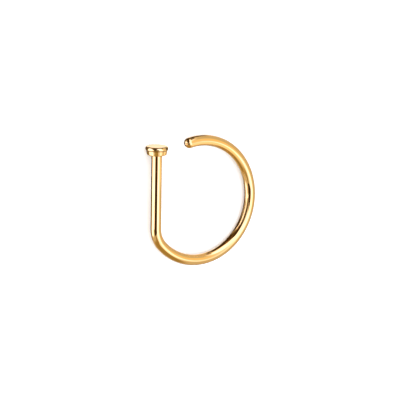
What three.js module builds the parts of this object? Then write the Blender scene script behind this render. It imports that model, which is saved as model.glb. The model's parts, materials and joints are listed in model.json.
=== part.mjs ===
// D-shaped nose ring of one round wire: a flat head, a straight post, a tight bend, a wide open arc
// and a rounded free tip. The wire is made straight, as a headed pin, and then bent to its shape.
//
// Millimetres, +Z up. The ring lies on its side, as it rests on a table: on the head's rim and on the
// far side of the arc. The origin is the middle of its outline seen from above, on the table.

import * as THREE from "three";

// Driving dimensions
const WIRE_DIAMETER = 0.84;
const INNER_WIDTH = 7.9; // clear width from the post to the far side of the arc
const ARC_RADIUS = 4.75; // of the arc's centre line
const BEND_RADIUS = 2.05; // of the centre line between the post and the arc
const TIP_ANGLE = THREE.MathUtils.degToRad(101.8); // where the arc ends, from the far side round past the top
const HEAD_DIAMETER = 1.8;
const HEAD_LEVEL = 4.7; // the head's face above the arc's centre, along the post

// The head's outline, from its face down to the wire: a rim like a coin with round edges, and a
// tapered cup under it that is a little narrower
const RIM_HEIGHT = 0.3;
const FACE_ROUNDING = 0.17; // at the edge of the face
const RIM_ROUNDING = 0.1; // at the rim's lower edge
const RIM_UNDERCUT = THREE.MathUtils.degToRad(60); // how far the lower edge rounds under, down to the cup
const HEAD_HEIGHT = 0.7;
const SEAT_DIAMETER = 1.54; // the flat underside, below the taper
const SEAT_ROUNDING = 0.1;
const FILLET = 0.07; // solder between the underside and the post

// Fineness
const SIDES = 24;
const ARC_STEP = THREE.MathUtils.degToRad(5);
const ROUNDING_STEPS = 3;
const TIP_STEPS = 6;

const wireRadius = WIRE_DIAMETER / 2;
const headRadius = HEAD_DIAMETER / 2;
const seatRadius = SEAT_DIAMETER / 2;
const postOffset = INNER_WIDTH + WIRE_DIAMETER - ARC_RADIUS;
const undercutStart = RIM_HEIGHT - RIM_ROUNDING * Math.sin(RIM_UNDERCUT);

// A circular arc in the ring's own plane, turning anticlockwise from one angle to another.
class FlatArc extends THREE.Curve {
  constructor(centre, radius, from, to) {
    super();
    Object.assign(this, { centre, radius, from, to });
  }

  getPoint(t, target = new THREE.Vector3()) {
    const angle = THREE.MathUtils.lerp(this.from, this.to, t);
    const offset = new THREE.Vector3(Math.cos(angle), Math.sin(angle), 0).multiplyScalar(this.radius);
    return target.copy(this.centre).add(offset);
  }

  getTangent(t, target = new THREE.Vector3()) {
    const angle = THREE.MathUtils.lerp(this.from, this.to, t);
    return target.set(-Math.sin(angle), Math.cos(angle), 0);
  }

  getLength() {
    return this.radius * (this.to - this.from);
  }
}

// The four stretches of the wire's centre line, from the head's face to the tip's end. The arc is
// centred on the ring's own origin, and the bend lies inside it and touches it.
function centreLine() {
  const arcCentre = new THREE.Vector3();
  const bendX = BEND_RADIUS - postOffset;
  const bendY = -Math.sqrt((ARC_RADIUS - BEND_RADIUS) ** 2 - bendX ** 2);
  const bendCentre = new THREE.Vector3(bendX, bendY, 0);
  const joinAngle = 2 * Math.PI + Math.atan2(bendY, bendX);
  const face = new THREE.Vector3(-postOffset, HEAD_LEVEL, 0);
  const post = new THREE.LineCurve3(face, new THREE.Vector3(-postOffset, bendY, 0));
  const bend = new FlatArc(bendCentre, BEND_RADIUS, Math.PI, joinAngle);
  const arc = new FlatArc(arcCentre, ARC_RADIUS, joinAngle, 2 * Math.PI + TIP_ANGLE);
  const tipStart = arc.getPoint(1);
  const tip = new THREE.LineCurve3(tipStart, arc.getTangent(1).multiplyScalar(wireRadius).add(tipStart));
  return [post, bend, arc, tip];
}

// Points of part of a circle, as radius and distance along the wire, between two angles from outward.
function rounding(radius, along, size, from, to, steps) {
  return Array.from({ length: steps + 1 }, (_, i) => {
    const angle = THREE.MathUtils.lerp(from, to, i / steps);
    return new THREE.Vector2(radius + size * Math.cos(angle), along + size * Math.sin(angle));
  });
}

// The head's half outline, from the middle of its face to the foot of the solder on the post.
function headOutline() {
  const face = headRadius - FACE_ROUNDING;
  const rim = headRadius - RIM_ROUNDING;
  const taperFoot = HEAD_HEIGHT - SEAT_ROUNDING;
  return [
    new THREE.Vector2(0, 0),
    ...rounding(face, FACE_ROUNDING, FACE_ROUNDING, -Math.PI / 2, 0, ROUNDING_STEPS),
    ...rounding(rim, undercutStart, RIM_ROUNDING, 0, RIM_UNDERCUT, ROUNDING_STEPS),
    ...rounding(seatRadius - SEAT_ROUNDING, taperFoot, SEAT_ROUNDING, 0, Math.PI / 2, ROUNDING_STEPS),
    ...rounding(wireRadius + FILLET, HEAD_HEIGHT + FILLET, FILLET, -Math.PI / 2, -Math.PI, ROUNDING_STEPS),
  ];
}

// Distances along the wire at which it takes a new direction, every few degrees round a curve.
function bendStations(stretches) {
  let start = 0;
  return stretches.flatMap((stretch) => {
    const length = stretch.getLength();
    const from = start;
    start += length;
    if (!(stretch instanceof FlatArc)) return [];
    const steps = Math.ceil((stretch.to - stretch.from) / ARC_STEP);
    return Array.from({ length: steps }, (_, i) => from + (length * i) / steps);
  });
}

// The straight pin about +Y: the head's face at 0, and the wire and its round tip above.
function straightPin(stretches) {
  const length = stretches.reduce((sum, stretch) => sum + stretch.getLength(), 0);
  const tip = rounding(0, length - wireRadius, wireRadius, 0, Math.PI / 2, TIP_STEPS).slice(0, -1);
  const outline = [
    ...headOutline(),
    ...bendStations(stretches).map((along) => new THREE.Vector2(wireRadius, along)),
    ...tip,
    new THREE.Vector2(0, length),
  ];
  return new THREE.LatheGeometry(outline, SIDES);
}

// Bends the pin: what lay along +Y follows the centre line, and its sections stay square to it.
function bendAlong(geometry, stretches) {
  const position = geometry.getAttribute("position");
  const normal = new THREE.Vector3(0, 0, 1);
  for (let i = 0; i < position.count; i++) {
    let along = position.getY(i);
    let stretch = stretches[0];
    for (const next of stretches.slice(1)) {
      if (along <= stretch.getLength()) break;
      along -= stretch.getLength();
      stretch = next;
    }
    const t = Math.min(along / stretch.getLength(), 1);
    const side = stretch.getTangent(t).cross(normal);
    const point = stretch.getPoint(t);
    point.addScaledVector(side, position.getX(i)).addScaledVector(normal, position.getZ(i));
    position.setXYZ(i, point.x, point.y, point.z);
  }
  geometry.computeVertexNormals();
  return geometry;
}

// The centre of mass of a closed geometry, from the tetrahedra between its faces and the origin.
function centreOfMass(geometry) {
  const triangles = geometry.toNonIndexed().getAttribute("position");
  const [a, b, c] = [new THREE.Vector3(), new THREE.Vector3(), new THREE.Vector3()];
  const weighted = new THREE.Vector3();
  let volume = 0;
  for (let i = 0; i < triangles.count; i += 3) {
    [a, b, c].forEach((corner, k) => corner.fromBufferAttribute(triangles, i + k));
    const share = a.dot(b.clone().cross(c)) / 6;
    weighted.addScaledVector(a.clone().add(b).add(c), share / 4);
    volume += share;
  }
  return weighted.divideScalar(volume);
}

// The turn that lays the ring down. It leans on the head's rim and on one point of the arc, and
// settles where its weight is over the line between the two.
function restingTurn(geometry) {
  const rim = new THREE.Vector3(-postOffset, HEAD_LEVEL - undercutStart, 0);
  const towards = centreOfMass(geometry).setZ(0).sub(rim).normalize();
  const nearest = -rim.dot(towards);
  const past = Math.sqrt(ARC_RADIUS ** 2 - rim.clone().addScaledVector(towards, nearest).lengthSq());
  const contact = rim.clone().addScaledVector(towards, nearest + past);
  const downhill = contact.clone().normalize();
  const span = ARC_RADIUS - rim.dot(downhill);
  const axis = new THREE.Vector3(0, 0, 1).cross(downhill);
  return new THREE.Quaternion().setFromAxisAngle(axis, Math.asin((headRadius - wireRadius) / span));
}

const gold = new THREE.MeshStandardMaterial({ color: 0xffc97a, roughness: 0.08, metalness: 1 });

const stretches = centreLine();
const ring = new THREE.Mesh(bendAlong(straightPin(stretches), stretches), gold);
ring.name = "nose_ring";
ring.quaternion.copy(restingTurn(ring.geometry));

const noseRing = new THREE.Group();
noseRing.add(ring);
const bounds = new THREE.Box3().setFromObject(noseRing, true);
const middle = bounds.getCenter(new THREE.Vector3());
ring.position.set(-middle.x, -middle.y, -bounds.min.z);

export default noseRing;
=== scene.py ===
"""Finish, studio and camera for a gold nose ring: one bent wire with a flat head soldered on its end.

The ring lies on its side on a pale table. Its wire is modelled as a straight headed pin that is bent
along its route, so every mark of drawing, turning and polishing follows the metal round the bends.
"""

import json
import logging
import math
from dataclasses import dataclass, field
from enum import Enum
from typing import Iterator

import bpy
from mathutils import Matrix, Vector


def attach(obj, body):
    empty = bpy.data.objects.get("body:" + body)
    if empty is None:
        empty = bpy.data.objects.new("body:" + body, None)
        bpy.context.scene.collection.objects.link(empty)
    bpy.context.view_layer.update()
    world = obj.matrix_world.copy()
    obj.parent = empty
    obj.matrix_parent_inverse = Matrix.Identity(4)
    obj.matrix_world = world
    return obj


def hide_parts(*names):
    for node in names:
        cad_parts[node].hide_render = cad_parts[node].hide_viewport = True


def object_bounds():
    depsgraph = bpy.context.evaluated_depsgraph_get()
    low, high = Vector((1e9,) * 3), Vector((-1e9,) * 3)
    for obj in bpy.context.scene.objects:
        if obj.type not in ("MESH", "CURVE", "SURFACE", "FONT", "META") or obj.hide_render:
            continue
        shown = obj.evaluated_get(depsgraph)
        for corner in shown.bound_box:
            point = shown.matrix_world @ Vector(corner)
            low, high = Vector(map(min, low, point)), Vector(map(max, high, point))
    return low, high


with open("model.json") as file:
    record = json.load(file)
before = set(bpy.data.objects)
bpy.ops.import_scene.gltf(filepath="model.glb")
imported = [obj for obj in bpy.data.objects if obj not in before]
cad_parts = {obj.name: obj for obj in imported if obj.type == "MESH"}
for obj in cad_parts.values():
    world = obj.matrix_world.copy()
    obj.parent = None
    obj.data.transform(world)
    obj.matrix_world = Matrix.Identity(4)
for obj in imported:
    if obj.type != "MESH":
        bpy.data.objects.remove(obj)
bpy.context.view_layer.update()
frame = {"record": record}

LOG = logging.getLogger("nose_ring")

MM = 0.001
NODE = "nose_ring"
BODY = "root"
PIN_PLACE = "pin_place"
WORN_EDGE = "worn_edge"
CREASE = "crease"
CARD_PLACE = "card_place"

Colour = tuple[float, float, float, float]
Reach = tuple[float, float]
NodeValue = bpy.types.NodeSocket | float | tuple[float, ...]
WHITE: Colour = (1.0, 1.0, 1.0, 1.0)
BLACK: Colour = (0.0, 0.0, 0.0, 1.0)
RISING: Reach = (0.0, 1.0)
FALLING: Reach = (1.0, 0.0)


# ---------------------------------------------------------------- the ring's plane and the wire's route


@dataclass(frozen=True)
class RingPlane:
    """Where the flat of the hoop stands in the row's frame.

    Attributes:
        face: The middle of the head's flat face.
        across: Unit direction from the post towards the wide arc.
        along: Unit direction up the post, out of the head's face.
        front: Unit direction square to the hoop, on its upper side.
    """

    face: Vector
    across: Vector
    along: Vector
    front: Vector

    @classmethod
    def from_mounts(cls, record: dict) -> "RingPlane":
        """Reads the plane from the two mounts on the head.

        Args:
            record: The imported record.

        Returns:
            The plane, with the head's face as its point.
        """
        mounts = {mount["name"]: mount for mount in record["mounts"]}
        face = Vector(mounts["head_face"]["pos_m"])
        along = Vector(mounts["head_face"]["axis"]).normalized()
        step = Vector(mounts["head_seat"]["pos_m"]) - face
        across = (step - step.dot(along) * along).normalized()
        return cls(face, across, along, across.cross(along))

    def turned(self, across: float, along: float, front: float) -> Vector:
        """Returns a direction in the row's frame from its parts in the ring's plane."""
        return across * self.across + along * self.along + front * self.front


@dataclass(frozen=True)
class Straight:
    """A straight stretch of wire in the hoop's plane."""

    start: Vector
    heading: Vector
    length: float

    def at(self, distance: float) -> tuple[Vector, Vector]:
        """Returns the point and the heading at a distance along the stretch."""
        return self.start + distance * self.heading, self.heading


@dataclass(frozen=True)
class Bend:
    """A round stretch of wire in the hoop's plane, turning anticlockwise."""

    centre: Vector
    radius: float
    first: float
    last: float

    @property
    def length(self) -> float:
        """The length of the wire's centre line round the bend."""
        return self.radius * (self.last - self.first)

    def at(self, distance: float) -> tuple[Vector, Vector]:
        """Finds a place on the bend.

        Args:
            distance: How far along the bend it is.

        Returns:
            The point and the heading there.
        """
        angle = self.first + distance / self.radius
        outward = Vector((math.cos(angle), math.sin(angle)))
        return self.centre + self.radius * outward, Vector((-outward.y, outward.x))


@dataclass(frozen=True)
class WireRoute:
    """The centre line of the wire, from the head's face to the free tip, round the arc's centre.

    Attributes:
        wire_radius: Half the wire's thickness.
        inner_width: Clear width from the post to the far side of the arc.
        arc_radius: Radius of the wide arc's centre line.
        bend_radius: Radius of the tight bend's centre line.
        head_level: Height of the head's face above the arc's centre.
        tip_angle: Where the arc ends, from the far side round past the top.
    """

    wire_radius: float = 0.42 * MM
    inner_width: float = 7.9 * MM
    arc_radius: float = 4.75 * MM
    bend_radius: float = 2.05 * MM
    head_level: float = 4.7 * MM
    tip_angle: float = math.radians(101.8)

    @property
    def post_offset(self) -> float:
        """Distance of the post's centre line from the arc's centre."""
        return self.inner_width + 2 * self.wire_radius - self.arc_radius

    def stretches(self) -> list[Straight | Bend]:
        """Lays out the stretches of the wire.

        Returns:
            The post, the tight bend, the wide arc and the short straight under the tip.
        """
        inset = self.arc_radius - self.bend_radius
        bend_across = self.bend_radius - self.post_offset
        bend_centre = Vector((bend_across, -math.sqrt(inset**2 - bend_across**2)))
        join = 2 * math.pi + math.atan2(bend_centre.y, bend_centre.x)
        head = Vector((-self.post_offset, self.head_level))
        post = Straight(head, Vector((0.0, -1.0)), self.head_level - bend_centre.y)
        bend = Bend(bend_centre, self.bend_radius, math.pi, join)
        arc = Bend(Vector((0.0, 0.0)), self.arc_radius, join, 2 * math.pi + self.tip_angle)
        return [post, bend, arc, Straight(*arc.at(arc.length), self.wire_radius)]

    @property
    def length(self) -> float:
        """The whole length of the bent wire, tip and head included."""
        return sum(stretch.length for stretch in self.stretches())

    def at(self, distance: float) -> tuple[Vector, Vector]:
        """Finds a place on the centre line.

        Args:
            distance: How far along the wire it is, from the head's face.

        Returns:
            The point and the heading there, across and along the hoop's plane.
        """
        stretches = self.stretches()
        for stretch in stretches[:-1]:
            if distance <= stretch.length:
                return stretch.at(distance)
            distance -= stretch.length
        return stretches[-1].at(distance)


# ---------------------------------------------------------------- the pin's outline, before it is bent


class Zone(Enum):
    """The parts of the ring's skin that were worked differently."""

    HEAD = 0
    SOLDER = 1
    WIRE = 2


@dataclass(frozen=True)
class Corner:
    """A corner of the pin's half outline, with the rounding that it is worked to.

    Attributes:
        radius: Distance from the pin's axis.
        along: Distance from the head's face.
        rounding: Radius of the round that takes the corner off.
        zone: What the skin is, from this corner on.
        worn: How far the rounding is rubbed bright, from 0 to 1.
    """

    radius: float
    along: float
    rounding: float
    zone: Zone
    worn: float = 0.0


@dataclass(frozen=True)
class SkinPoint:
    """A point of the pin's half outline, with its outward direction."""

    radius: float
    along: float
    out_radius: float
    out_along: float
    zone: Zone
    worn: float


@dataclass(frozen=True)
class ButtonHead:
    """The flat round head: a rim like a coin, and a tapered cup under it, soldered on the post.

    Attributes:
        diameter: Across the rim.
        height: From the face to the flat underside.
        rim_height: From the face to where the cup begins.
        face_rounding: Rounding between the face and the rim.
        rim_rounding: Rounding of the rim's lower edge, which sets how deep the crease lies.
        polished_rounding: The same rounding as it is polished, tighter so that the crease keeps its own.
        undercut: How far the lower edge rounds under, down to the cup, in degrees.
        crease_rounding: Rounding in the crease between the rim and the cup.
        crease_shade_reach: How far to each side of the crease the gold is darkened by painted shade.
        seat_diameter: Across the flat underside.
        seat_rounding: Rounding between the cup and its underside.
        fillet: Radius of the solder between the underside and the post.
    """

    diameter: float = 1.8 * MM
    height: float = 0.7 * MM
    rim_height: float = 0.3 * MM
    face_rounding: float = 0.17 * MM
    rim_rounding: float = 0.1 * MM
    polished_rounding: float = 0.096 * MM
    undercut: float = 60.0
    crease_rounding: float = 0.004 * MM
    crease_shade_reach: float = 0.06 * MM
    seat_diameter: float = 1.54 * MM
    seat_rounding: float = 0.1 * MM
    fillet: float = 0.07 * MM

    def corners(self, wire_radius: float) -> list[Corner]:
        """Lists the head's corners, from the edge of its face to the post.

        Args:
            wire_radius: Half the post's thickness.

        Returns:
            The corners, each with its rounding.
        """
        rim, seat = self.diameter / 2, self.seat_diameter / 2
        undercut = math.radians(self.undercut)
        crease = rim - self.rim_rounding * (1 - math.cos(undercut))
        lower_edge = self.rim_height - self.rim_rounding * (math.sin(undercut) - math.tan(undercut / 2))
        return [
            Corner(rim, 0.0, self.face_rounding, Zone.HEAD, worn=1.0),
            Corner(rim, lower_edge, self.polished_rounding, Zone.HEAD, worn=0.7),
            Corner(crease, self.rim_height, self.crease_rounding, Zone.HEAD),
            Corner(seat, self.height, self.seat_rounding, Zone.HEAD, worn=0.4),
            Corner(wire_radius, self.height, self.fillet, Zone.SOLDER),
        ]

    # How deep in a crease a place lies sets where painted shade darkens the gold.
    def crease_depth(self, along: float) -> float:
        """Returns how deep in a crease a place lies, from 0 to 1, by its distance from the face."""
        nearest = min(abs(along - self.rim_height), abs(along - self.height))
        return max(0.0, 1.0 - nearest / self.crease_shade_reach)


@dataclass(frozen=True)
class PinOutline:
    """The half outline of the straight pin, from the middle of the face to the end of the tip.

    Attributes:
        route: The wire's route, for its thickness and length.
        head: The head.
        round_steps: Steps in each rounding.
        tip_steps: Steps in the round tip.
        spacing: The longest step along the wire.
        tip_rounding: The tip's rounding, as a share of the wire's radius.
    """

    route: WireRoute
    head: ButtonHead
    round_steps: int = 8
    tip_steps: int = 24
    spacing: float = 0.08 * MM
    tip_rounding: float = 0.999

    def points(self) -> list[SkinPoint]:
        """Draws the outline.

        Returns:
            Its points in order, evenly close on every curve.
        """
        wire, length = self.route.wire_radius, self.route.length
        tip = Corner(wire, length, wire * self.tip_rounding, Zone.WIRE, worn=0.3)
        corners = [*self.head.corners(wire), tip]
        ends = [Vector((0.0, 0.0)), *(Vector((c.radius, c.along)) for c in corners), Vector((0.0, length))]
        points = [SkinPoint(0.0, 0.0, 0.0, -1.0, Zone.HEAD, 0.0)]
        for number, corner in enumerate(corners):
            before, here, after = ends[number : number + 3]
            rounding = list(self._rounding(before, here, after, corner))
            points.extend(self._side(points[-1], rounding[0]))
            points.extend(rounding)
        points.append(SkinPoint(0.0, length, 0.0, 1.0, Zone.WIRE, tip.worn))
        return points

    def _rounding(self, before: Vector, here: Vector, after: Vector, corner: Corner) -> Iterator[SkinPoint]:
        """Yields the points of the round that takes off one corner.

        Args:
            before: The corner before it.
            here: The corner itself.
            after: The corner after it.
            corner: What the corner is rounded to.

        Yields:
            The points of the round, with their outward directions.
        """
        arriving, leaving = (here - before).normalized(), (after - here).normalized()
        turn = arriving.x * leaving.y - arriving.y * leaving.x
        half_turn = math.atan2(abs(turn), arriving.dot(leaving)) / 2
        side = math.copysign(1.0, turn)
        out_arriving = Vector((arriving.y, -arriving.x))
        start = here - corner.rounding * math.tan(half_turn) * arriving
        centre = start - side * corner.rounding * out_arriving
        steps = self.tip_steps if corner.zone is Zone.WIRE else self.round_steps
        for step in range(steps + 1):
            swing = side * 2 * half_turn * step / steps
            out = Matrix.Rotation(swing, 2) @ out_arriving
            point = centre + side * corner.rounding * out
            worn = corner.worn * math.sin(math.pi * step / steps)
            yield SkinPoint(point.x, point.y, out.x, out.y, corner.zone, worn)

    def _side(self, last: SkinPoint, following: SkinPoint) -> Iterator[SkinPoint]:
        """Yields evenly spaced points on the straight side between two roundings.

        Args:
            last: The last point of the rounding before it.
            following: The first point of the rounding after it.

        Yields:
            The points between the two, with the side's outward direction.
        """
        gap = math.hypot(following.radius - last.radius, following.along - last.along)
        steps = max(1, math.ceil(gap / self.spacing))
        for step in range(1, steps):
            share = step / steps
            radius = last.radius + share * (following.radius - last.radius)
            along = last.along + share * (following.along - last.along)
            yield SkinPoint(radius, along, following.out_radius, following.out_along, following.zone, 0.0)


# ---------------------------------------------------------------- finishes


class Graph:
    """Adds nodes to one node tree and joins them."""

    def __init__(self, tree: bpy.types.NodeTree) -> None:
        """Starts on an empty tree."""
        self.tree = tree
        self.tree.nodes.clear()

    def add(self, kind: str, inputs: dict | None = None, **settings: object) -> bpy.types.Node:
        """Adds a node.

        Args:
            kind: The node's type, without its ShaderNode prefix, or a whole type name.
            inputs: Values or sockets for its inputs, by name or number.
            **settings: Values for its own properties.

        Returns:
            The new node.
        """
        whole = kind if kind.startswith("NodeGroup") else "ShaderNode" + kind
        node = self.tree.nodes.new(whole)
        for name, value in settings.items():
            setattr(node, name, value)
        for name, value in (inputs or {}).items():
            self.feed(node.inputs[name], value)
        return node

    def feed(self, socket: bpy.types.NodeSocket, value: NodeValue) -> None:
        """Joins another socket to an input, or sets the input's own value.

        Args:
            socket: The input.
            value: The other socket, or the value.
        """
        if isinstance(value, bpy.types.NodeSocket):
            self.tree.links.new(value, socket)
        else:
            socket.default_value = value

    def group(self, tree: bpy.types.NodeTree, inputs: dict) -> bpy.types.NodeOutputs:
        """Places a shader group and returns its outputs."""
        return self.add("Group", inputs, node_tree=tree).outputs

    def math(self, operation: str, *values: NodeValue) -> bpy.types.NodeSocket:
        """Returns the result of a Math node on numbers or sockets."""
        return self.add("Math", dict(enumerate(values)), operation=operation).outputs[0]

    def blend(self, factor: NodeValue, first: NodeValue, second: NodeValue) -> bpy.types.NodeSocket:
        """Mixes two colours.

        Args:
            factor: The share of the second colour, from 0 to 1.
            first: The first colour.
            second: The second colour.

        Returns:
            The mixed colour.
        """
        node = self.add("Mix", {"Factor": factor}, data_type="RGBA")
        ends = [socket for socket in node.inputs if socket.type == "RGBA"]
        self.feed(ends[0], first)
        self.feed(ends[1], second)
        return next(socket for socket in node.outputs if socket.type == "RGBA")

    def spread(self, value: NodeValue, source: Reach, target: Reach = RISING) -> bpy.types.NodeSocket:
        """Moves a value smoothly from one range to another and holds it inside the new one.

        Args:
            value: The value.
            source: The two ends of its range.
            target: What the two ends become.

        Returns:
            The moved value.
        """
        inputs = {
            "Value": value,
            "From Min": source[0],
            "From Max": source[1],
            "To Min": target[0],
            "To Max": target[1],
        }
        return self.add("MapRange", inputs, interpolation_type="SMOOTHSTEP").outputs["Result"]


class SocketKind(Enum):
    """The kinds of socket that a shader group shows."""

    VALUE = "NodeSocketFloat"
    COLOUR = "NodeSocketColor"
    VECTOR = "NodeSocketVector"


PLACE_INPUT = (SocketKind.VECTOR, (0.0, 0.0, 0.0))
GOLD_INPUT = (SocketKind.COLOUR, (1.0, 0.6, 0.2, 1.0))


@dataclass
class ShaderGroups:
    """The effects that several finishes share, each a node group built once.

    Attributes:
        coarse_share: Fineness of the slow ripple under the polishing marks, as a share of theirs.
        matt_marks: Where in the noise of the marks the polish turns from bright to matt.
        sway_scale: How many times in a metre a hairline sways.
        sway: How far it sways, in metres.
        hairline_stretch: Scale of the cells whose edges are the hairlines, small along them.
        hairline_turns: The three directions that hairlines run in, as rotations in radians.
        handled_scale: How many patches of hairlines there are in a metre.
        handled: Where in the noise of the patches the hairlines begin and are whole.
        clouds: Where in its noise the plating's colour starts to deepen and is deepest.
        rubbed_scale: How many patches of wear there are in a metre of edge.
        rubbed: Where in the noise of the wear it is least and most.
        rubbed_share: The least and the most share of an edge's wear.
        crease_shade_scale: How many patches of painted crease shade there are in a metre of crease.
        shade_patches: Where in the noise of the patches the painted shade is least and most.
        shade_patch_share: The least and the most share of a crease's painted shade.
        crease_shade_depth: How deep in a crease the painted shade begins and is whole.
    """

    coarse_share: float = 0.12
    matt_marks: Reach = (0.35, 0.75)
    sway_scale: float = 400.0
    sway: float = 0.0006
    hairline_stretch: tuple[float, ...] = (1.0, 0.06, 1.0)
    hairline_turns: tuple[tuple[float, ...], ...] = ((0.3, 0.9, 0.2), (1.3, 0.2, 2.1), (2.4, 1.7, 0.8))
    handled_scale: float = 700.0
    handled: Reach = (0.5, 0.62)
    clouds: Reach = (0.3, 0.7)
    rubbed_scale: float = 2600.0
    rubbed: Reach = (0.3, 0.65)
    rubbed_share: Reach = (0.2, 1.0)
    # The noise and depth of the painted crease shade.
    crease_shade_scale: float = 5200.0
    shade_patches: Reach = (0.3, 0.6)
    shade_patch_share: Reach = (0.55, 1.0)
    crease_shade_depth: Reach = (0.0, 0.9)

    def __post_init__(self) -> None:
        """Builds the groups."""
        self.marks = self._polishing_marks()
        self.scratches = self._hairline_scratches()
        self.tone = self._plating_tone()
        self.wear = self._edge_wear()
        self.crease_shade = self._painted_crease_shade()
        self.soft_edge = self._soft_card_edge()

    @staticmethod
    def _begin(name: str, inputs: dict, outputs: dict) -> tuple[Graph, bpy.types.Node, bpy.types.Node]:
        """Starts a group.

        Args:
            name: The group's name.
            inputs: Its inputs, each a pair of kind and default value.
            outputs: Its outputs, each a kind.

        Returns:
            The graph, its input node and its output node.
        """
        tree = bpy.data.node_groups.new(name, "ShaderNodeTree")
        graph = Graph(tree)
        for label, (kind, value) in inputs.items():
            socket = tree.interface.new_socket(label, in_out="INPUT", socket_type=kind.value)
            socket.default_value = value
        for label, kind in outputs.items():
            tree.interface.new_socket(label, in_out="OUTPUT", socket_type=kind.value)
        return graph, graph.add("NodeGroupInput"), graph.add("NodeGroupOutput")

    def _polishing_marks(self) -> bpy.types.NodeTree:
        """Builds the fine streaks of drawing or turning, under the polish.

        Returns:
            A group with the streaks' height and a mask of how matt they are.
        """
        inputs = {
            "Place": PLACE_INPUT,
            "Fineness": (SocketKind.VALUE, 9000.0),
            "Ripple": (SocketKind.VALUE, 0.5),
        }
        outputs = {"Height": SocketKind.VALUE, "Mask": SocketKind.VALUE}
        graph, given, result = self._begin("polishing_marks", inputs, outputs)
        place, fineness = given.outputs["Place"], given.outputs["Fineness"]
        fine = graph.add("TexNoise", {"Vector": place, "Scale": fineness, "Detail": 3.0, "Roughness": 0.6})
        coarse_scale = graph.math("MULTIPLY", fineness, self.coarse_share)
        coarse = graph.add("TexNoise", {"Vector": place, "Scale": coarse_scale, "Detail": 1.0})
        swell = graph.math("MULTIPLY", coarse.outputs["Fac"], given.outputs["Ripple"])
        graph.feed(result.inputs["Height"], graph.math("ADD", fine.outputs["Fac"], swell))
        graph.feed(result.inputs["Mask"], graph.spread(fine.outputs["Fac"], self.matt_marks))
        return graph.tree

    def _hairline_scratches(self) -> bpy.types.NodeTree:
        """Builds the sparse hairlines that handling leaves in a mirror polish.

        Returns:
            A group with a mask that is 1 in the bottom of each hairline.
        """
        inputs = {
            "Place": PLACE_INPUT,
            "Spacing": (SocketKind.VALUE, 900.0),
            "Width": (SocketKind.VALUE, 0.03),
        }
        graph, given, result = self._begin("hairline_scratches", inputs, {"Mask": SocketKind.VALUE})
        place = given.outputs["Place"]
        bent = graph.add("TexNoise", {"Vector": place, "Scale": self.sway_scale, "Detail": 1.0})
        sway = graph.add("VectorMath", {0: bent.outputs["Color"], "Scale": self.sway}, operation="SCALE")
        swayed = graph.add("VectorMath", {0: place, 1: sway.outputs[0]}, operation="ADD").outputs[0]
        masks = []
        for turn in self.hairline_turns:
            laid = {"Vector": swayed, "Rotation": turn, "Scale": self.hairline_stretch}
            cell = {"Vector": graph.add("Mapping", laid).outputs[0], "Scale": given.outputs["Spacing"]}
            edge = graph.add("TexVoronoi", cell, feature="DISTANCE_TO_EDGE").outputs["Distance"]
            near = graph.math("DIVIDE", edge, given.outputs["Width"])
            masks.append(graph.spread(near, RISING, FALLING))
        patches = graph.add("TexNoise", {"Vector": place, "Scale": self.handled_scale, "Detail": 0.0})
        here = graph.spread(patches.outputs["Fac"], self.handled)
        any_mask = graph.math("MAXIMUM", graph.math("MAXIMUM", masks[0], masks[1]), masks[2])
        graph.feed(result.inputs["Mask"], graph.math("MULTIPLY", any_mask, here))
        return graph.tree

    def _plating_tone(self) -> bpy.types.NodeTree:
        """Builds the slow change of hue in the plating.

        Returns:
            A group with the plating's colour.
        """
        inputs = {
            "Place": PLACE_INPUT,
            "Gold": GOLD_INPUT,
            "Deep gold": (SocketKind.COLOUR, (1.0, 0.5, 0.1, 1.0)),
            "Scale": (SocketKind.VALUE, 450.0),
        }
        graph, given, result = self._begin("plating_tone", inputs, {"Colour": SocketKind.COLOUR})
        drift = {"Vector": given.outputs["Place"], "Scale": given.outputs["Scale"], "Detail": 2.0}
        cloud = graph.add("TexNoise", drift)
        amount = graph.spread(cloud.outputs["Fac"], self.clouds)
        colour = graph.blend(amount, given.outputs["Gold"], given.outputs["Deep gold"])
        graph.feed(result.inputs["Colour"], colour)
        return graph.tree

    def _edge_wear(self) -> bpy.types.NodeTree:
        """Builds the rubbed, paler plating on edges that skin and cloth touch.

        Returns:
            A group with the worn colour and a mask of where it is worn.
        """
        inputs = {
            "Place": PLACE_INPUT,
            "Edge": (SocketKind.VALUE, 0.0),
            "Colour": GOLD_INPUT,
            "Worn colour": (SocketKind.COLOUR, (1.0, 0.75, 0.45, 1.0)),
            "Amount": (SocketKind.VALUE, 0.5),
        }
        outputs = {"Colour": SocketKind.COLOUR, "Mask": SocketKind.VALUE}
        graph, given, result = self._begin("edge_wear", inputs, outputs)
        rubbing = {"Vector": given.outputs["Place"], "Scale": self.rubbed_scale, "Detail": 3.0}
        patchy = graph.add("TexNoise", rubbing)
        share = graph.spread(patchy.outputs["Fac"], self.rubbed, self.rubbed_share)
        edge = graph.math("MULTIPLY", given.outputs["Edge"], share)
        mask = graph.math("MULTIPLY", edge, given.outputs["Amount"])
        colour = graph.blend(mask, given.outputs["Colour"], given.outputs["Worn colour"])
        graph.feed(result.inputs["Colour"], colour)
        graph.feed(result.inputs["Mask"], mask)
        return graph.tree

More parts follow.
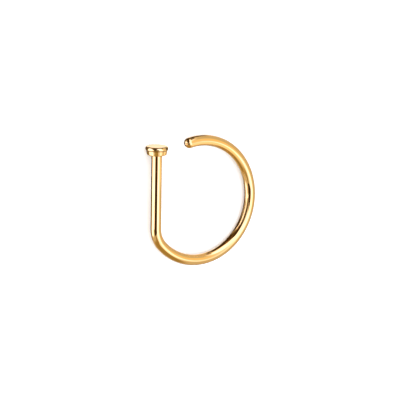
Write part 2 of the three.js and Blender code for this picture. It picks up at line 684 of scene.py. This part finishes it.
    def _painted_crease_shade(self) -> bpy.types.NodeTree:
        """Builds the painted shade in a crease: broken patches of dark brown that darken the gold there.

        Returns:
            A group with the darkened colour in the crease and a mask of where the painted shade lies.
        """
        inputs = {
            "Place": PLACE_INPUT,
            "Crease": (SocketKind.VALUE, 0.0),
            "Colour": GOLD_INPUT,
            "Crease shade colour": (SocketKind.COLOUR, (0.1, 0.04, 0.01, 1.0)),
            "Amount": (SocketKind.VALUE, 0.5),
        }
        outputs = {"Colour": SocketKind.COLOUR, "Mask": SocketKind.VALUE}
        graph, given, result = self._begin("painted_crease_shade", inputs, outputs)
        # Painted shade: broken dark brown patches darken the gold deep in a crease.
        shade_patches = {"Vector": given.outputs["Place"], "Scale": self.crease_shade_scale, "Detail": 3.0}
        broken = graph.add("TexNoise", shade_patches)
        share = graph.spread(broken.outputs["Fac"], self.shade_patches, self.shade_patch_share)
        depth = graph.spread(given.outputs["Crease"], self.crease_shade_depth)
        mask = graph.math("MULTIPLY", graph.math("MULTIPLY", depth, share), given.outputs["Amount"])
        colour = graph.blend(mask, given.outputs["Colour"], given.outputs["Crease shade colour"])
        graph.feed(result.inputs["Colour"], colour)
        graph.feed(result.inputs["Mask"], mask)
        return graph.tree

    def _soft_card_edge(self) -> bpy.types.NodeTree:
        """Builds the fade of a studio card towards its edges.

        Returns:
            A group with a mask that is 1 in the card's middle and 0 at its edges.
        """
        inputs = {
            "Place": PLACE_INPUT,
            "Softness": (SocketKind.VALUE, 0.3),
        }
        graph, given, result = self._begin("soft_card_edge", inputs, {"Mask": SocketKind.VALUE})
        parts = graph.add("SeparateXYZ", {"Vector": given.outputs["Place"]})
        fades = []
        for axis in ("X", "Y"):
            from_edge = graph.math("SUBTRACT", 1.0, graph.math("ABSOLUTE", parts.outputs[axis]))
            share = graph.math("DIVIDE", from_edge, given.outputs["Softness"])
            fades.append(graph.spread(share, RISING))
        graph.feed(result.inputs["Mask"], graph.math("MULTIPLY", fades[0], fades[1]))
        return graph.tree


class Working(Enum):
    """How the metal under the plating was worked, which is the way that its marks run."""

    DRAWN = "along the wire"
    TURNED = "round the pin"
    SOLDERED = "every way"


@dataclass(frozen=True)
class GoldFinish:
    """A mirror-polished gold plating, with the marks of how the metal under it was worked and painted shade
    in its creases.

    Attributes:
        name: The material's name.
        gold: The plating's colour.
        deep_gold: Its colour where the plating is thickest.
        worn_gold: Its colour where it is rubbed thin.
        working: How the metal was worked.
        fineness: How many marks there are in a metre.
        drawn_share: How wide a drawn mark is, as a share of its length.
        mark_depth: How deep the marks are, in metres.
        roughness: The roughness of the polish between the marks.
        mark_roughness: How much rougher the marks are.
        worn_roughness: How much rougher worn edges are.
        hairline_roughness: How much rougher hairline scratches are.
        hairline_dip: How deep the hairlines are, against the marks.
        wear: How far worn edges have paled, from 0 to 1.
        crease_shade: The colour of the painted shade in its creases.
        crease_shade_share: How far the painted shade covers the creases, from 0 to 1.
        crease_roughness: How much rougher the creases are where the painted shade lies.
    """

    name: str
    gold: Colour = (1.0, 0.60, 0.21, 1.0)
    deep_gold: Colour = (1.0, 0.56, 0.17, 1.0)
    worn_gold: Colour = (1.0, 0.68, 0.32, 1.0)
    working: Working = Working.DRAWN
    fineness: float = 9000.0
    drawn_share: float = 0.05
    mark_depth: float = 0.00000025
    roughness: float = 0.012
    mark_roughness: float = 0.03
    worn_roughness: float = 0.06
    hairline_roughness: float = 0.12
    hairline_dip: float = 1.2
    wear: float = 0.5
    # The dark brown of the painted crease shade.
    crease_shade: Colour = (0.16, 0.065, 0.015, 1.0)
    crease_shade_share: float = 0.85
    crease_roughness: float = 0.25

    def material(self, groups: ShaderGroups) -> bpy.types.Material:
        """Builds the material.

        Args:
            groups: The shared shader groups.

        Returns:
            The material, ready for the ring's mesh.
        """
        material = bpy.data.materials.new(self.name)
        material.use_nodes = True
        graph = Graph(material.node_tree)
        place = graph.add("Attribute", attribute_name=PIN_PLACE).outputs["Vector"]
        edge = graph.add("Attribute", attribute_name=WORN_EDGE).outputs["Fac"]
        crease = graph.add("Attribute", attribute_name=CREASE).outputs["Fac"]
        mark_inputs = {"Place": self._mark_place(graph, place), "Fineness": self.fineness}
        marks = graph.group(groups.marks, mark_inputs)
        scratches = graph.group(groups.scratches, {"Place": place})
        tone = graph.group(groups.tone, {"Place": place, "Gold": self.gold, "Deep gold": self.deep_gold})
        wear_inputs = {
            "Place": place,
            "Edge": edge,
            "Colour": tone["Colour"],
            "Worn colour": self.worn_gold,
            "Amount": self.wear,
        }
        worn = graph.group(groups.wear, wear_inputs)
        # Painted shade: the base colour is darkened to dark brown in the creases.
        crease_shade_inputs = {
            "Place": place,
            "Crease": crease,
            "Colour": worn["Colour"],
            "Crease shade colour": self.crease_shade,
            "Amount": self.crease_shade_share,
        }
        crease_shade = graph.group(groups.crease_shade, crease_shade_inputs)
        roughness = self.roughness
        for mask, rougher in (
            (scratches["Mask"], self.hairline_roughness),
            (marks["Mask"], self.mark_roughness),
            (worn["Mask"], self.worn_roughness),
            (crease_shade["Mask"], self.crease_roughness),
        ):
            roughness = graph.math("MULTIPLY_ADD", mask, rougher, roughness)
        height = graph.math("MULTIPLY_ADD", scratches["Mask"], -self.hairline_dip, marks["Height"])
        bump = graph.add("Bump", {"Height": height, "Strength": 1.0, "Distance": self.mark_depth})
        surface = {
            "Base Color": crease_shade["Colour"],
            "Metallic": 1.0,
            "Roughness": roughness,
            "Normal": bump.outputs["Normal"],
        }
        shader = graph.add("BsdfPrincipled", surface)
        graph.add("OutputMaterial", {"Surface": shader.outputs["BSDF"]})
        return material

    def _mark_place(self, graph: Graph, place: bpy.types.NodeSocket) -> bpy.types.NodeSocket:
        """Turns or stretches the place on the pin so that the marks run the way the metal was worked.

        Args:
            graph: The material's graph.
            place: The place on the straight pin.

        Returns:
            The place that the marks are looked up at.
        """
        if self.working is Working.DRAWN:
            squash = (1.0, 1.0, self.drawn_share)
            return graph.add("VectorMath", {0: place, 1: squash}, operation="MULTIPLY").outputs[0]
        if self.working is Working.TURNED:
            flat = graph.add("VectorMath", {0: place, 1: (1.0, 1.0, 0.0)}, operation="MULTIPLY").outputs[0]
            radius = graph.add("VectorMath", {0: flat}, operation="LENGTH").outputs["Value"]
            parts = graph.add("SeparateXYZ", {"Vector": place})
            return graph.add("CombineXYZ", {"X": radius, "Z": parts.outputs["Z"]}).outputs[0]
        return place


WIRE_FINISH = GoldFinish("drawn_wire_gold")
HEAD_FINISH = GoldFinish("turned_head_gold", working=Working.TURNED, fineness=14000.0, wear=0.6)
SOLDER_FINISH = GoldFinish(
    "solder_fillet_gold",
    gold=(0.98, 0.56, 0.18, 1.0),
    working=Working.SOLDERED,
    fineness=16000.0,
    mark_depth=0.0000016,
    roughness=0.09,
    mark_roughness=0.12,
)
FINISHES = {Zone.HEAD: HEAD_FINISH, Zone.SOLDER: SOLDER_FINISH, Zone.WIRE: WIRE_FINISH}


# ---------------------------------------------------------------- the ring


class Spot(Enum):
    """What a studio card is hung round."""

    RING = "the whole ring"
    HEAD = "the head alone"
    TIP = "the free tip alone"


@dataclass
class NoseRing:
    """The whole ring, one seamless skin over the head, the solder, the post, the bend, the arc and the tip.

    Attributes:
        plane: Where the hoop stands in the row's frame.
        route: The wire's route.
        head: The head on the post.
        sides: Facets round the wire.
    """

    plane: RingPlane
    route: WireRoute = field(default_factory=WireRoute)
    head: ButtonHead = field(default_factory=ButtonHead)
    sides: int = 72

    def centre(self) -> Vector:
        """Returns the centre of the wide arc in the row's frame."""
        beside_post = self.plane.face + self.route.post_offset * self.plane.across
        return beside_post - self.route.head_level * self.plane.along

    def spots(self) -> dict[Spot, Vector]:
        """Finds the places that studio cards are hung round.

        Returns:
            The middle of each spot in the row's frame.
        """
        tip, _ = self.route.at(self.route.length - self.route.wire_radius)
        tip_place = self.centre() + tip.x * self.plane.across + tip.y * self.plane.along
        return {Spot.RING: self.centre(), Spot.HEAD: self.plane.face, Spot.TIP: tip_place}

    def build(self) -> bpy.types.Object:
        """Bends the pin's outline along the route and makes the ring from it.

        Returns:
            The ring, in place in the row's frame.
        """
        outline = PinOutline(self.route, self.head).points()
        places: list[Vector] = []
        normals: list[Vector] = []
        pin_places: list[Vector] = []
        worn: list[float] = []
        creases: list[float] = []
        for point in outline:
            turns = 1 if point.radius == 0 else self.sides
            for turn in range(turns):
                place, normal, pin_place = self._bent(point, 2 * math.pi * turn / self.sides)
                places.append(place)
                normals.append(normal)
                pin_places.append(pin_place)
                worn.append(point.worn)
                creases.append(self.head.crease_depth(point.along))
        mesh = bpy.data.meshes.new("gold_nose_ring")
        faces, zones = self._faces(outline)
        mesh.from_pydata(places, [], faces)
        mesh.polygons.foreach_set("material_index", [zone.value for zone in zones])
        mesh.polygons.foreach_set("use_smooth", [True] * len(faces))
        place_layer = mesh.attributes.new(PIN_PLACE, "FLOAT_VECTOR", "POINT")
        place_layer.data.foreach_set("vector", [part for place in pin_places for part in place])
        mesh.attributes.new(WORN_EDGE, "FLOAT", "POINT").data.foreach_set("value", worn)
        mesh.attributes.new(CREASE, "FLOAT", "POINT").data.foreach_set("value", creases)
        mesh.normals_split_custom_set_from_vertices(normals)
        mesh.update()
        ring = bpy.data.objects.new("gold_nose_ring", mesh)
        bpy.context.scene.collection.objects.link(ring)
        return ring

    def _bent(self, point: SkinPoint, turn: float) -> tuple[Vector, Vector, Vector]:
        """Places one point of the pin on the bent ring.

        Args:
            point: The point of the outline.
            turn: Its angle round the pin's axis.

        Returns:
            Its place and outward direction in the row's frame, and its place on the straight pin.
        """
        middle, heading = self.route.at(point.along)
        side = (heading.y * self.plane.across - heading.x * self.plane.along) * math.cos(turn)
        side += self.plane.front * math.sin(turn)
        forward = heading.x * self.plane.across + heading.y * self.plane.along
        centre = self.centre() + middle.x * self.plane.across + middle.y * self.plane.along
        normal = point.out_radius * side + point.out_along * forward
        pin_place = Vector((point.radius * math.cos(turn), point.radius * math.sin(turn), point.along))
        return centre + point.radius * side, normal.normalized(), pin_place

    def _faces(self, outline: list[SkinPoint]) -> tuple[list[tuple[int, ...]], list[Zone]]:
        """Lists the skin's faces, closed at both ends of the pin by a fan.

        Args:
            outline: The outline's points.

        Returns:
            The faces and the zone of each.
        """
        faces: list[tuple[int, ...]] = []
        zones: list[Zone] = []
        first = 0
        for here, after in zip(outline, outline[1:]):
            following = first + (1 if here.radius == 0 else self.sides)
            for side in range(self.sides):
                beside = (side + 1) % self.sides
                if here.radius == 0:
                    face = (first, following + side, following + beside)
                elif after.radius == 0:
                    face = (first + side, following, first + beside)
                else:
                    face = (first + side, following + side, following + beside, first + beside)
                faces.append(face)
                zones.append(after.zone)
            first = following
        return faces, zones

    def dress(self, ring: bpy.types.Object, groups: ShaderGroups) -> None:
        """Gives each zone of the ring its finish.

        Args:
            ring: The ring's object.
            groups: The shared shader groups.
        """
        for zone in Zone:
            ring.data.materials.append(FINISHES[zone].material(groups))


# ---------------------------------------------------------------- table, studio and camera


@dataclass(frozen=True)
class Table:
    """The plain pale table that the ring lies on."""

    width: float = 1.2
    colour: Colour = (0.9, 0.9, 0.9, 1.0)
    roughness: float = 0.55

    def build(self, level: float) -> bpy.types.Object:
        """Lays the table's top at a level.

        Args:
            level: The height of the top.

        Returns:
            The table's top.
        """
        half = self.width / 2
        corners = [(-half, -half, level), (half, -half, level), (half, half, level), (-half, half, level)]
        mesh = bpy.data.meshes.new("table_top")
        mesh.from_pydata(corners, [], [(0, 1, 2, 3)])
        table = bpy.data.objects.new("table_top", mesh)
        bpy.context.scene.collection.objects.link(table)
        material = bpy.data.materials.new("pale_table")
        material.use_nodes = True
        graph = Graph(material.node_tree)
        shader = graph.add("BsdfPrincipled", {"Base Color": self.colour, "Roughness": self.roughness})
        graph.add("OutputMaterial", {"Surface": shader.outputs["BSDF"]})
        mesh.materials.append(material)
        table.visible_glossy = False
        return table


@dataclass(frozen=True)
class Cloth:
    """What a studio card is covered with: the colour and brightness that the gold mirrors."""

    colour: Colour
    light: float


class Covering(Enum):
    """The coverings of the studio cards."""

    DAYLIGHT_SILK = Cloth((0.55, 0.62, 1.0, 1.0), 3.8)
    WHITE_PAPER = Cloth(WHITE, 1.2)
    CREAM_PAPER = Cloth((1.0, 0.9, 0.65, 1.0), 1.0)
    GREY_NET = Cloth(WHITE, 0.2)
    AMBER_WALL = Cloth((1.0, 0.82, 0.36, 1.0), 0.38)
    BROWN_FELT = Cloth((1.0, 0.6, 0.25, 1.0), 0.05)


@dataclass(frozen=True)
class Card:
    """A soft-edged, one-sided studio card that only the polish mirrors.

    Attributes:
        name: The card's name.
        covering: What it is covered with.
        azimuth: Its direction from its spot, from +X towards +Y, in degrees.
        elevation: Its height angle from its spot, in degrees.
        width: Its width, in degrees.
        height: Its height, in degrees.
        roll: How far it is turned in its own plane, in degrees.
        softness: The share of its half width over which its edge fades.
        spot: What it is hung round.
        close: How far from its spot a small card hangs, or 0 for a card in the row of large ones.
    """

    name: str
    covering: Covering
    azimuth: float
    elevation: float
    width: float
    height: float
    roll: float = 0.0
    softness: float = 0.6
    spot: Spot = Spot.RING
    close: float = 0.0

    def build(self, centre: Vector, distance: float, groups: ShaderGroups) -> bpy.types.Object:
        """Hangs the card with its front to its spot.

        Args:
            centre: The middle of its spot.
            distance: How far away it hangs.
            groups: The shared shader groups.

        Returns:
            The card.
        """
        half_width = distance * math.tan(math.radians(self.width) / 2)
        half_height = distance * math.tan(math.radians(self.height) / 2)
        azimuth, elevation = math.radians(self.azimuth), math.radians(self.elevation)
        level = Vector((math.cos(azimuth), math.sin(azimuth), 0.0))
        outward = math.cos(elevation) * level + Vector((0.0, 0.0, math.sin(elevation)))
        sideways = Vector((-math.sin(azimuth), math.cos(azimuth), 0.0))
        upward = outward.cross(sideways)
        roll = math.radians(self.roll)
        right = math.cos(roll) * sideways + math.sin(roll) * upward
        top = math.cos(roll) * upward - math.sin(roll) * sideways
        middle = centre + distance * outward
        signs = ((-1, -1), (-1, 1), (1, 1), (1, -1))
        corners = [middle + x * half_width * right + y * half_height * top for x, y in signs]
        mesh = bpy.data.meshes.new(self.name)
        mesh.from_pydata(corners, [], [(0, 1, 2, 3)])
        layer = mesh.uv_layers.new(name=CARD_PLACE)
        for loop, sign in zip(layer.data, signs):
            loop.uv = sign
        card = bpy.data.objects.new(self.name, mesh)
        bpy.context.scene.collection.objects.link(card)
        mesh.materials.append(self._material(groups))
        card.visible_camera = False
        card.visible_diffuse = False
        card.visible_transmission = False
        card.visible_shadow = False
        return card

    def _material(self, groups: ShaderGroups) -> bpy.types.Material:
        """Builds the card's light, fading to nothing at its edges and missing from its back.

        Args:
            groups: The shared shader groups.

        Returns:
            The card's material.
        """
        material = bpy.data.materials.new(self.name)
        material.use_nodes = True
        graph = Graph(material.node_tree)
        place = graph.add("UVMap", uv_map=CARD_PLACE).outputs["UV"]
        edge = graph.group(groups.soft_edge, {"Place": place, "Softness": self.softness})
        front = graph.math("SUBTRACT", 1.0, graph.add("NewGeometry").outputs["Backfacing"])
        surface = {
            "Base Color": BLACK,
            "Roughness": 1.0,
            "Specular IOR Level": 0.0,
            "Emission Color": self.covering.value.colour,
            "Emission Strength": self.covering.value.light,
            "Alpha": graph.math("MULTIPLY", edge["Mask"], front),
        }
        shader = graph.add("BsdfPrincipled", surface)
        graph.add("OutputMaterial", {"Surface": shader.outputs["BSDF"]})
        return material


@dataclass(frozen=True)
class Studio:
    """The plain soft light: a pale room, one soft lamp overhead, and the cards that the gold mirrors.

    Attributes:
        room_seen: Brightness of the room where it is seen.
        room_on_table: Brightness of the room as it lights the table.
        wall_mirrored: Brightness in the gold of the room's walls and what lies below.
        ceiling_mirrored: Brightness in the gold of the room straight overhead.
        ceiling_colour: Colour in the gold of the room straight overhead.
        wall_top: Height angle at which the walls begin to pale towards the ceiling, in degrees.
        lamp_power: Power of the soft lamp, in watts.
        lamp_width: Width of the soft lamp.
        lamp_height: Height of the lamp over the table.
        farthest_card: Distance of the first card, which hangs behind all the others.
        nearest_card: Distance at which the row of cards would end if none hung close.
    """

    room_seen: float = 1.0
    room_on_table: float = 1.9
    wall_mirrored: float = 0.65
    ceiling_mirrored: float = 2.0
    ceiling_colour: Colour = (0.48, 0.6, 1.0, 1.0)
    wall_top: float = 30.0
    lamp_power: float = 0.2
    lamp_width: float = 0.5
    lamp_height: float = 0.6
    farthest_card: float = 0.36
    nearest_card: float = 0.18

    def cards(self) -> list[Card]:
        """Lists the large cards round the ring, the farthest first, and then the small close ones.

        Returns:
            The cards, each placed and sized by azimuth, elevation, width and height.
        """
        daylight, white, cream = Covering.DAYLIGHT_SILK, Covering.WHITE_PAPER, Covering.CREAM_PAPER
        net, amber, felt = Covering.GREY_NET, Covering.AMBER_WALL, Covering.BROWN_FELT
        head, tip = Spot.HEAD, Spot.TIP
        return [
            Card("far_wall", amber, 258, 4, 72, 88, softness=0.4),
            Card("low_wall", amber, 315, -38, 50, 40, softness=0.5),
            Card("arc_sheet", cream, 20, 48, 60, 50, softness=0.8),
            Card("overhead_panel", daylight, 316, 78, 42, 74, roll=-7),
            Card("upper_panel", daylight, 90, 47, 52, 86, roll=-13),
            Card("side_panel", daylight, 173, -13, 86, 56, roll=-6, softness=0.35),
            Card("floor_sheet", white, 28, -56, 44, 40, softness=0.5),
            Card("side_net", net, 160, 33, 70, 58),
            Card("slit_panel", daylight, 191, 3, 8, 58, softness=0.5),
            Card("bend_panel", amber, 234, 42, 34, 30, softness=0.4),
            Card("lens_flag", felt, 205, 52, 27, 56, roll=-7, softness=0.25),
            Card("corner_flag", felt, 129, 25, 35, 58, roll=-13, softness=0.3),
            Card("gap_flag", felt, 165, 37, 24, 21, softness=0.5),
            Card("low_flag", felt, 104, -21, 51, 102, roll=-28, softness=0.35),
            Card("under_flag", felt, 137, -47, 28, 37),
            Card("sill_flag", felt, 189, -51, 70, 15, roll=-3, softness=0.5),
            Card("floor_flag", felt, 160, -83, 56, 48, softness=0.35),
            Card("edge_strip", net, 70, -10, 8, 90),
            Card("head_flag", felt, 96, 2, 92, 84, softness=0.3, spot=head, close=2.5 * MM),
            Card("hoop_flag", felt, 158, -44, 56, 42, softness=0.25, close=5 * MM),
            Card("face_sheet", amber, 96, -20, 84, 36, softness=0.4, spot=head, close=2.2 * MM),
            Card("head_left_flag", felt, 204, -64, 24, 40, spot=head, close=4 * MM),
            Card("head_right_flag", felt, 0, 22, 52, 38, softness=0.5, spot=head, close=1.7 * MM),
            Card("cup_panel", daylight, 216, 8, 24, 30, softness=0.8, spot=head, close=4 * MM),
            Card("tip_panel", white, 316, 29, 38, 46, softness=0.7, spot=tip, close=5.5 * MM),
            Card("tip_flag", felt, 70, -30, 62, 40, softness=0.4, spot=tip, close=8 * MM),
        ]

    def build(self, spots: dict[Spot, Vector], groups: ShaderGroups) -> list[bpy.types.Object]:
        """Sets up the room, the lamp and the cards.

        Args:
            spots: The middle of each spot.
            groups: The shared shader groups.

        Returns:
            The cards.
        """
        self._room()
        lamp = bpy.data.lights.new("soft_lamp", "AREA")
        lamp.shape = "DISK"
        lamp.size = self.lamp_width
        lamp.energy = self.lamp_power
        hung = bpy.data.objects.new("soft_lamp", lamp)
        hung.location = spots[Spot.RING] + Vector((0.0, 0.0, self.lamp_height))
        hung.visible_glossy = False
        hung.visible_camera = False
        bpy.context.scene.collection.objects.link(hung)
        cards = self.cards()
        step = (self.farthest_card - self.nearest_card) / (len(cards) - 1)
        built = []
        for order, card in enumerate(cards):
            distance = card.close or self.farthest_card - step * order
            built.append(card.build(spots[card.spot], distance, groups))
        return built

    def _room(self) -> None:
        """Makes the pale room, which the gold mirrors dimmer at the walls and brighter overhead."""
        world = bpy.data.worlds.new("pale_room")
        bpy.context.scene.world = world
        world.use_nodes = True
        graph = Graph(world.node_tree)
        direction = graph.add("TexCoord").outputs["Generated"]
        height = graph.add("SeparateXYZ", {"Vector": direction}).outputs["Z"]
        lowest = math.sin(math.radians(self.wall_top))
        rise = graph.spread(height, (lowest, 1.0))
        gain = self.ceiling_mirrored - self.wall_mirrored
        mirrored = graph.math("MULTIPLY_ADD", rise, gain, self.wall_mirrored)
        tint = graph.blend(rise, WHITE, self.ceiling_colour)
        path = graph.add("LightPath")
        mirror_share = graph.math("MULTIPLY", path.outputs["Is Glossy Ray"], mirrored)
        seen_share = graph.math("MULTIPLY", path.outputs["Is Camera Ray"], self.room_seen)
        direct = graph.math("ADD", path.outputs["Is Glossy Ray"], path.outputs["Is Camera Ray"])
        rest = graph.math("MULTIPLY", graph.math("SUBTRACT", 1.0, direct), self.room_on_table)
        strength = graph.math("ADD", graph.math("ADD", mirror_share, seen_share), rest)
        colour = graph.blend(path.outputs["Is Glossy Ray"], WHITE, tint)
        room = graph.add("Background", {"Color": colour, "Strength": strength})
        graph.add("OutputWorld", {"Surface": room.outputs[0]})


@dataclass(frozen=True)
class ViewCamera:
    """The camera, at a long lens so that the ring keeps its true proportions.

    Attributes:
        lens: Focal length, in millimetres.
        sensor: Width of the sensor, in millimetres.
        view_width: Width of the view at the ring.
        side_angle: How far the camera stands round to the post's side of the hoop's front, in degrees.
        height_angle: How far it stands towards the head's end, in degrees.
        lean: How far the post leans to the right in the view, in degrees.
        offset: How far the ring's picture stands to the right of the view's middle.
    """

    lens: float = 1200.0
    sensor: float = 36.0
    view_width: float = 31.24 * MM
    side_angle: float = 33.3
    height_angle: float = 11.7
    lean: float = 0.8
    offset: float = 0.03 * MM

    def build(self, plane: RingPlane, ring: bpy.types.Object) -> bpy.types.Object:
        """Sets the camera up with the ring's picture in the middle of the view.

        Args:
            plane: Where the hoop stands.
            ring: The ring.

        Returns:
            The camera.
        """
        side, height = math.radians(self.side_angle), math.radians(self.height_angle)
        level_share = math.cos(height)
        back = plane.turned(-math.sin(side) * level_share, math.sin(height), math.cos(side) * level_share)
        level = plane.along.cross(back).normalized()
        upright = back.cross(level)
        lean = math.radians(self.lean)
        right = math.cos(lean) * level + math.sin(lean) * upright
        up = math.cos(lean) * upright - math.sin(lean) * level
        places = [vertex.co for vertex in ring.data.vertices]
        middle = sum((self._middle(places, axis) * axis for axis in (right, up, back)), Vector())
        aim = middle - self.offset * right
        camera_data = bpy.data.cameras.new("view_camera")
        camera_data.lens = self.lens
        camera_data.sensor_width = self.sensor
        distance = self.view_width * self.lens / self.sensor
        camera_data.clip_start = distance / 10
        camera_data.clip_end = distance * 100
        camera = bpy.data.objects.new("view_camera", camera_data)
        turn = Matrix((right, up, back)).transposed().to_4x4()
        camera.matrix_world = Matrix.Translation(aim + distance * back) @ turn
        bpy.context.scene.collection.objects.link(camera)
        return camera

    @staticmethod
    def _middle(places: list[Vector], direction: Vector) -> float:
        """Returns the middle of the places' reach along a direction."""
        reach = [place.dot(direction) for place in places]
        return (min(reach) + max(reach)) / 2


def main() -> None:
    """Builds the ring, the table, the studio and the camera, and reports each piece."""
    logging.basicConfig(level=logging.INFO, format="%(name)s: %(message)s")
    plane = RingPlane.from_mounts(frame["record"])
    groups = ShaderGroups()
    maker = NoseRing(plane)
    ring = maker.build()
    maker.dress(ring, groups)
    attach(ring, BODY)
    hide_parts(NODE)
    LOG.info("%s: %d faces, %.1f mm of wire", ring.name, len(ring.data.polygons), maker.route.length / MM)
    table = Table().build(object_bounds()[0].z)
    LOG.info("%s: %.1f m across", table.name, Table.width)
    cards = Studio().build(maker.spots(), groups)
    LOG.info("studio: %d cards", len(cards))
    bpy.context.scene.camera = ViewCamera().build(plane, ring)
    LOG.info("view_camera: %.1f mm wide view", ViewCamera.view_width / MM)
    bpy.context.scene.view_settings.view_transform = "Standard"


if __name__ == "__main__":
    main()
